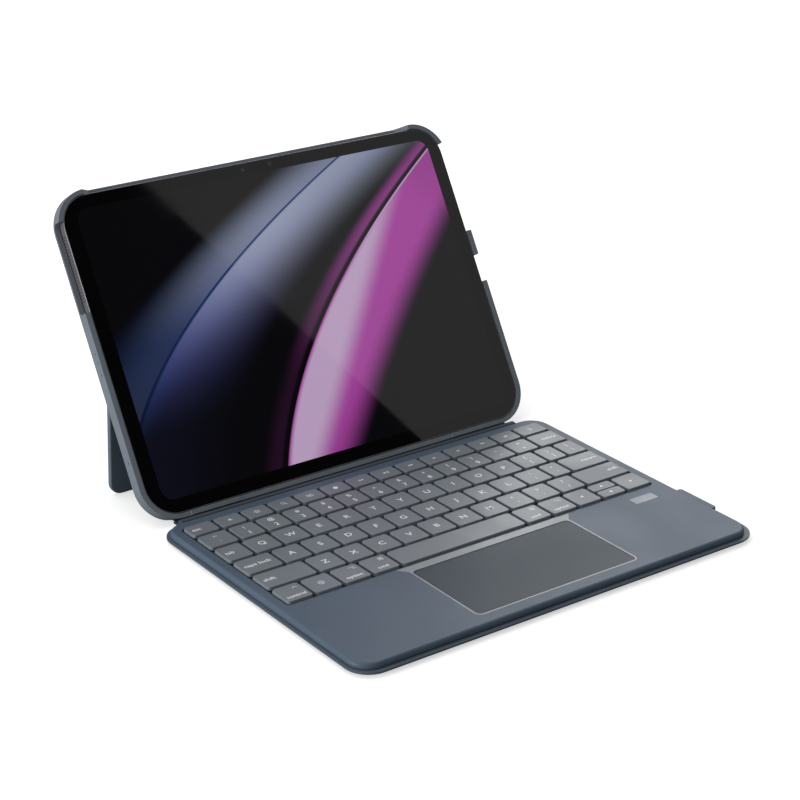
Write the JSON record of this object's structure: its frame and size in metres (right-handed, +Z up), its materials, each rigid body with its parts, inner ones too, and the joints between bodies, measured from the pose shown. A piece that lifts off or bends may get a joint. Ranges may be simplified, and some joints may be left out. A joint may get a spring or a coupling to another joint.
{
  "type": "tablet keyboard case",
  "caption": "Folding keyboard case that stands a tablet up on a hinged kickstand, with a trackpad, sprung keys and a tray that the tablet lifts out of.",
  "frame": {"origin": "on the desk under the middle of the keyboard base, on the underside of its middle foot strip", "axes": "+X to the typist's right, +Y away from the typist towards the screen, +Z up"},
  "size_m": [0.2572, 0.2934, 0.1602],
  "materials": {
    "cover_skin": "soft leather-grain polymer skin",
    "deck_skin": "soft leather-grain polymer skin",
    "badge_metal": "satin",
    "trim_band": "satin",
    "trackpad_face": "fine satin, touch surface",
    "sheet_steel": "stamped sheet",
    "switch_rubber": "translucent silicone",
    "circuit_board": "solder mask",
    "magnet_steel": "nickel plate",
    "foot_rubber": "matt",
    "screw_steel": "black oxide",
    "web_plastic": "matt",
    "membrane_film": "clear film with printed tracks",
    "strip_skin": "soft leather-grain polymer skin",
    "ribbon_film": "amber film",
    "shell_skin": "soft leather-grain polymer skin",
    "lining_cloth": "short microfibre nap",
    "contact_gold": "gold plate",
    "stand_skin": "soft leather-grain polymer skin",
    "hinge_steel": "satin",
    "tablet_aluminium": "bead blasted",
    "screen_glass": "polished",
    "panel_black": "polished",
    "lens_glass": "polished",
    "key_plastic": "fine satin"
  },
  "bodies": {
    "keyboard_base": {"bottom_cover": "cover_skin", "top_deck": "deck_skin", "side_tab": "deck_skin", "blank_badge": "badge_metal", "trackpad_trim": "trim_band", "trackpad_frame": "sheet_steel", "trackpad_switch": "switch_rubber", "controller_board": "circuit_board", "closing_magnets": "magnet_steel", "foot_strips": "foot_rubber", "cover_screws": "screw_steel", "key_web": "web_plastic", "key_backplate": "sheet_steel", "switch_membrane": "membrane_film", "switch_domes": "switch_rubber"},
    "trackpad": {"trackpad_plate": "trackpad_face"},
    "strip": {"hinge_strip": "strip_skin", "strip_core": "sheet_steel", "hinge_ribbon": "ribbon_film"},
    "tray": {"back_shell": "shell_skin", "shell_lining": "lining_cloth", "back_plate": "shell_skin", "contact_block": "web_plastic", "contact_pins": "contact_gold", "tray_magnets": "magnet_steel", "kickstand_barrels": "hinge_steel"},
    "kickstand": {"kickstand": "stand_skin", "kickstand_pins": "hinge_steel"},
    "tablet": {"tablet_body": "tablet_aluminium", "tablet_glass": "screen_glass", "display_panel": "panel_black", "camera_housing": "tablet_aluminium", "camera_lenses": "lens_glass"},
    "volume_up": {"volume_up": "tablet_aluminium"},
    "volume_down": {"volume_down": "tablet_aluminium"},
    "power_button": {"power_button": "tablet_aluminium"},
    "key_escape": {"key_escape": "key_plastic"},
    "function_keys": {"function_keys": "key_plastic"},
    "number_keys": {"number_keys": "key_plastic"},
    "key_delete": {"key_delete": "key_plastic"},
    "key_tab": {"key_tab": "key_plastic"},
    "upper_letter_keys": {"upper_letter_keys": "key_plastic"},
    "key_backslash": {"key_backslash": "key_plastic"},
    "key_caps_lock": {"key_caps_lock": "key_plastic"},
    "home_letter_keys": {"home_letter_keys": "key_plastic"},
    "key_return": {"key_return": "key_plastic"},
    "key_left_shift": {"key_left_shift": "key_plastic"},
    "lower_letter_keys": {"lower_letter_keys": "key_plastic"},
    "key_right_shift": {"key_right_shift": "key_plastic"},
    "key_control": {"key_control": "key_plastic"},
    "key_layer": {"key_layer": "key_plastic"},
    "key_left_alt": {"key_left_alt": "key_plastic"},
    "key_left_super": {"key_left_super": "key_plastic"},
    "space_bar": {"space_bar": "key_plastic"},
    "key_right_super": {"key_right_super": "key_plastic"},
    "key_right_alt": {"key_right_alt": "key_plastic"},
    "key_arrow_left": {"key_arrow_left": "key_plastic"},
    "key_arrow_up": {"key_arrow_up": "key_plastic"},
    "key_arrow_down": {"key_arrow_down": "key_plastic"},
    "key_arrow_right": {"key_arrow_right": "key_plastic"}
  },
  "joints": [
    {"name": "strip_hinge", "type": "hinge", "parent": "keyboard_base", "child": "strip", "pos_m": [0, 0.0922, 0.0022], "axis": [1, 0, 0], "range_deg": [-60, 90]},
    {"name": "tray_hinge", "type": "hinge", "parent": "strip", "child": "tray", "pos_m": [0, 0.10136, 0.0007], "axis": [1, 0, 0], "range_deg": [-60, 31]},
    {"name": "kickstand_hinge", "type": "hinge", "parent": "tray", "child": "kickstand", "pos_m": [0, 0.14748, 0.06212], "axis": [-1, 0, 0], "range_deg": [-41, 34.2]},
    {"name": "tablet_lift", "type": "slide", "parent": "tray", "child": "tablet", "axis": [0, 0.8572, -0.515], "range_m": [-0.06, 0]},
    {"name": "trackpad_press", "type": "hinge", "parent": "keyboard_base", "child": "trackpad", "pos_m": [0, -0.0259, 0.00545], "axis": [1, 0, 0], "range_deg": [0, 0.35], "stiffness_Nm_per_rad": 8, "springref_deg": -0.06},
    {"name": "key_escape_press", "type": "slide", "parent": "keyboard_base", "child": "key_escape", "axis": [0, 0, -1], "range_m": [0, 0.0011], "stiffness_N_per_m": 550, "springref_m": -0.0002},
    {"name": "function_keys_press", "type": "slide", "parent": "keyboard_base", "child": "function_keys", "axis": [0, 0, -1], "range_m": [0, 0.0011], "stiffness_N_per_m": 7150, "springref_m": -0.0002},
    {"name": "number_keys_press", "type": "slide", "parent": "keyboard_base", "child": "number_keys", "axis": [0, 0, -1], "range_m": [0, 0.0011], "stiffness_N_per_m": 7150, "springref_m": -0.0002},
    {"name": "key_delete_press", "type": "slide", "parent": "keyboard_base", "child": "key_delete", "axis": [0, 0, -1], "range_m": [0, 0.0011], "stiffness_N_per_m": 550, "springref_m": -0.0002},
    {"name": "key_tab_press", "type": "slide", "parent": "keyboard_base", "child": "key_tab", "axis": [0, 0, -1], "range_m": [0, 0.0011], "stiffness_N_per_m": 550, "springref_m": -0.0002},
    {"name": "upper_letter_keys_press", "type": "slide", "parent": "keyboard_base", "child": "upper_letter_keys", "axis": [0, 0, -1], "range_m": [0, 0.0011], "stiffness_N_per_m": 6600, "springref_m": -0.0002},
    {"name": "key_backslash_press", "type": "slide", "parent": "keyboard_base", "child": "key_backslash", "axis": [0, 0, -1], "range_m": [0, 0.0011], "stiffness_N_per_m": 550, "springref_m": -0.0002},
    {"name": "key_caps_lock_press", "type": "slide", "parent": "keyboard_base", "child": "key_caps_lock", "axis": [0, 0, -1], "range_m": [0, 0.0011], "stiffness_N_per_m": 550, "springref_m": -0.0002},
    {"name": "home_letter_keys_press", "type": "slide", "parent": "keyboard_base", "child": "home_letter_keys", "axis": [0, 0, -1], "range_m": [0, 0.0011], "stiffness_N_per_m": 6050, "springref_m": -0.0002},
    {"name": "key_return_press", "type": "slide", "parent": "keyboard_base", "child": "key_return", "axis": [0, 0, -1], "range_m": [0, 0.0011], "stiffness_N_per_m": 550, "springref_m": -0.0002},
    {"name": "key_left_shift_press", "type": "slide", "parent": "keyboard_base", "child": "key_left_shift", "axis": [0, 0, -1], "range_m": [0, 0.0011], "stiffness_N_per_m": 550, "springref_m": -0.0002},
    {"name": "lower_letter_keys_press", "type": "slide", "parent": "keyboard_base", "child": "lower_letter_keys", "axis": [0, 0, -1], "range_m": [0, 0.0011], "stiffness_N_per_m": 5500, "springref_m": -0.0002},
    {"name": "key_right_shift_press", "type": "slide", "parent": "keyboard_base", "child": "key_right_shift", "axis": [0, 0, -1], "range_m": [0, 0.0011], "stiffness_N_per_m": 550, "springref_m": -0.0002},
    {"name": "key_control_press", "type": "slide", "parent": "keyboard_base", "child": "key_control", "axis": [0, 0, -1], "range_m": [0, 0.0011], "stiffness_N_per_m": 550, "springref_m": -0.0002},
    {"name": "key_layer_press", "type": "slide", "parent": "keyboard_base", "child": "key_layer", "axis": [0, 0, -1], "range_m": [0, 0.0011], "stiffness_N_per_m": 550, "springref_m": -0.0002},
    {"name": "key_left_alt_press", "type": "slide", "parent": "keyboard_base", "child": "key_left_alt", "axis": [0, 0, -1], "range_m": [0, 0.0011], "stiffness_N_per_m": 550, "springref_m": -0.0002},
    {"name": "key_left_super_press", "type": "slide", "parent": "keyboard_base", "child": "key_left_super", "axis": [0, 0, -1], "range_m": [0, 0.0011], "stiffness_N_per_m": 550, "springref_m": -0.0002},
    {"name": "space_bar_press", "type": "slide", "parent": "keyboard_base", "child": "space_bar", "axis": [0, 0, -1], "range_m": [0, 0.0011], "stiffness_N_per_m": 550, "springref_m": -0.0002},
    {"name": "key_right_super_press", "type": "slide", "parent": "keyboard_base", "child": "key_right_super", "axis": [0, 0, -1], "range_m": [0, 0.0011], "stiffness_N_per_m": 550, "springref_m": -0.0002},
    {"name": "key_right_alt_press", "type": "slide", "parent": "keyboard_base", "child": "key_right_alt", "axis": [0, 0, -1], "range_m": [0, 0.0011], "stiffness_N_per_m": 550, "springref_m": -0.0002},
    {"name": "key_arrow_left_press", "type": "slide", "parent": "keyboard_base", "child": "key_arrow_left", "axis": [0, 0, -1], "range_m": [0, 0.0011], "stiffness_N_per_m": 550, "springref_m": -0.0002},
    {"name": "key_arrow_up_press", "type": "slide", "parent": "keyboard_base", "child": "key_arrow_up", "axis": [0, 0, -1], "range_m": [0, 0.0011], "stiffness_N_per_m": 550, "springref_m": -0.0002},
    {"name": "key_arrow_down_press", "type": "slide", "parent": "keyboard_base", "child": "key_arrow_down", "axis": [0, 0, -1], "range_m": [0, 0.0011], "stiffness_N_per_m": 550, "springref_m": -0.0002},
    {"name": "key_arrow_right_press", "type": "slide", "parent": "keyboard_base", "child": "key_arrow_right", "axis": [0, 0, -1], "range_m": [0, 0.0011], "stiffness_N_per_m": 550, "springref_m": -0.0002},
    {"name": "volume_up_press", "type": "slide", "parent": "tablet", "child": "volume_up", "axis": [0, -0.515, -0.8572], "range_m": [0, 0.0003], "stiffness_N_per_m": 2500, "springref_m": -0.0001},
    {"name": "volume_down_press", "type": "slide", "parent": "tablet", "child": "volume_down", "axis": [0, -0.515, -0.8572], "range_m": [0, 0.0003], "stiffness_N_per_m": 2500, "springref_m": -0.0001},
    {"name": "power_button_press", "type": "slide", "parent": "tablet", "child": "power_button", "axis": [0, -0.515, -0.8572], "range_m": [0, 0.0003], "stiffness_N_per_m": 2500, "springref_m": -0.0001}
  ]
}
